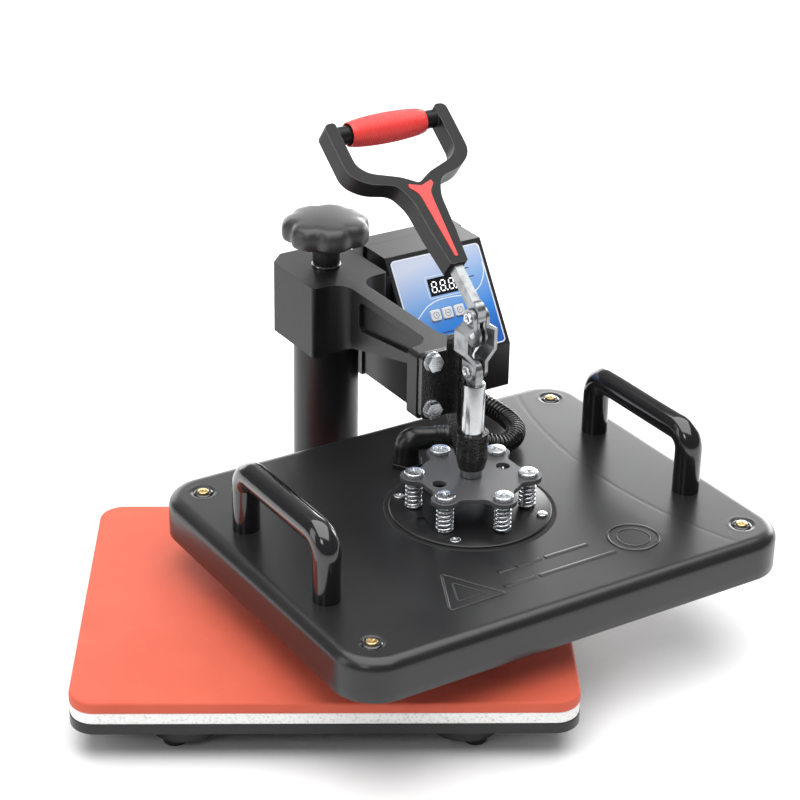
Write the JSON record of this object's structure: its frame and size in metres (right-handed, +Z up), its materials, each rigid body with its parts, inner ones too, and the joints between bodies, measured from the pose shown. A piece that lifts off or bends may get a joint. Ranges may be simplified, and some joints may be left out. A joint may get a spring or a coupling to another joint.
{
  "type": "heat press",
  "caption": "Swing-away heat press with padded lower platen, column, swinging arm, toggle lever with D-handle, sprung upper heat platen and control box.",
  "frame": {"origin": "centre of the resting object's bounding box in plan, on the bench", "axes": "+Z up, +X to the right along the pad's width, +Y from the pad to the column"},
  "size_m": [0.545, 0.5198, 0.4035],
  "materials": {
    "satin_black": "satin black powder coat",
    "cover_black": "satin black baked enamel with soft reflections",
    "cast_black": "satin black painted casting",
    "bracket_black": "gloss black coarse hammered coat",
    "foot_rubber": "matt black rubber",
    "pad_red": "matt orange-red foamed silicone",
    "board_white": "speckled white insulation board",
    "zinc": "bright zinc plated steel",
    "plated_steel": "dull zinc plated pressed steel",
    "chrome": "polished chrome",
    "machined_steel": "oiled machined steel",
    "bronze": "plain bronze",
    "brass_screw": "yellow passivated steel",
    "knob_plastic": "fine textured black plastic",
    "handle_black": "satin black moulded plastic",
    "grip_red": "soft red overmoulded grip",
    "gloss_black": "gloss black phenolic",
    "case_black": "satin black housing",
    "fitting_black": "black nylon",
    "panel_blue": "blue graduated membrane label",
    "display_dark": "dark display window",
    "button_grey": "light grey keys",
    "switch_red": "red rocker",
    "board_green": "green circuit board",
    "transformer_steel": "laminated steel and tape",
    "aluminium": "cast aluminium, dark release coat below",
    "element_steel": "heat darkened steel sheath",
    "blanket": "glass fibre blanket"
  },
  "bodies": {
    "base": {"base_frame": "satin_black", "rubber_feet": "foot_rubber", "column_flange": "satin_black", "column_bolts": "zinc", "column_tube": "satin_black", "lift_nut": "bronze", "lower_tray": "satin_black", "tray_screws": "zinc", "insulation_board": "board_white", "silicone_pad": "pad_red"},
    "carrier": {"lift_post": "machined_steel", "thrust_washer": "bronze"},
    "knob": {"pressure_knob": "knob_plastic", "pressure_screw": "machined_steel", "knob_ring": "zinc"},
    "arm": {"arm_casting": "cast_black", "toggle_bracket": "bracket_black", "bracket_bolts": "zinc", "bracket_washers": "zinc", "lever_pivot_pin": "zinc", "control_case": "case_black", "control_back": "case_black", "case_screws": "zinc", "control_mount": "cast_black", "panel_label": "panel_blue", "display_window": "display_dark", "circuit_board": "board_green", "transformer": "transformer_steel", "power_inlet": "fitting_black", "fuse_holder": "fitting_black", "conduit_gland": "fitting_black"},
    "power_rocker": {"power_switch": "switch_red"},
    "key_left": {"button_left": "button_grey"},
    "key_middle": {"button_middle": "button_grey"},
    "key_right": {"button_right": "button_grey"},
    "lever": {"lever_bar": "plated_steel", "handle_frame": "handle_black", "handle_grip": "grip_red", "handle_inlay": "grip_red", "link_pin_upper": "zinc"},
    "links": {"link_left": "plated_steel", "link_right": "plated_steel", "link_rivets": "zinc"},
    "plunger": {"press_rod": "chrome", "spring_plate": "satin_black", "rod_nut": "zinc"},
    "platen": {"heating_plate": "aluminium", "heating_element": "element_steel", "temperature_sensor": "element_steel", "insulation_blanket": "blanket", "platen_cover": "cover_black", "mounting_disc": "satin_black", "disc_screws": "zinc", "spring_bolts": "zinc", "platen_springs": "zinc", "cover_screws": "brass_screw", "platen_handles": "gloss_black", "elbow_connector": "fitting_black", "elbow_locknut": "fitting_black", "conduit": "fitting_black"}
  },
  "joints": [
    {"name": "arm_height", "type": "slide", "parent": "base", "child": "carrier", "axis": [0, 0, 1], "range_m": [0, 0.009]},
    {"name": "knob_turn", "type": "hinge", "parent": "carrier", "child": "knob", "pos_m": [-0.0825, 0.1622, 0.241], "axis": [0, 0, 1], "range_deg": [-0.5, 1080.5]},
    {"name": "arm_swing", "type": "hinge", "parent": "carrier", "child": "arm", "pos_m": [-0.0825, 0.1622, 0.178], "axis": [0, 0, 1], "range_deg": [-30.3, 89.7]},
    {"name": "lever_swing", "type": "hinge", "parent": "arm", "child": "lever", "pos_m": [0.03203, -0.03379, 0.267], "axis": [0.8634, 0.5045, 0], "range_deg": [0, 180]},
    {"name": "links_swing", "type": "hinge", "parent": "lever", "child": "links", "pos_m": [0.03203, -0.03379, 0.281], "axis": [0.8634, 0.5045, 0], "range_deg": [-180.5, 0.5]},
    {"name": "press_slide", "type": "slide", "parent": "arm", "child": "plunger", "axis": [0, 0, -1], "range_m": [-0.0001, 0.0281]},
    {"name": "platen_float", "type": "slide", "parent": "plunger", "child": "platen", "axis": [0, 0, 1], "range_m": [0, 0.003], "stiffness_N_per_m": 20000, "deforming": ["platen_springs"]},
    {"name": "left_key_press", "type": "slide", "parent": "arm", "child": "key_left", "axis": [-0.423, 0.7239, -0.545], "range_m": [0, 0.001], "stiffness_N_per_m": 400},
    {"name": "middle_key_press", "type": "slide", "parent": "arm", "child": "key_middle", "axis": [-0.423, 0.7239, -0.545], "range_m": [0, 0.001], "stiffness_N_per_m": 400},
    {"name": "right_key_press", "type": "slide", "parent": "arm", "child": "key_right", "axis": [-0.423, 0.7239, -0.545], "range_m": [0, 0.001], "stiffness_N_per_m": 400},
    {"name": "power_rocker_tilt", "type": "hinge", "parent": "arm", "child": "power_rocker", "pos_m": [-0.03314, 0.2244, 0.165], "axis": [0.8634, 0.5045, 0], "range_deg": [-7, 7]}
  ],
  "couplings": [
    {"joint": "knob_turn", "follows": "arm_height", "rad_per_m": 2094.4},
    {"joint": "links_swing", "follows": "lever_swing", "ratio": -1},
    {"joint": "press_slide", "follows": "lever_swing", "m_per_rad": 0.0089127}
  ]
}
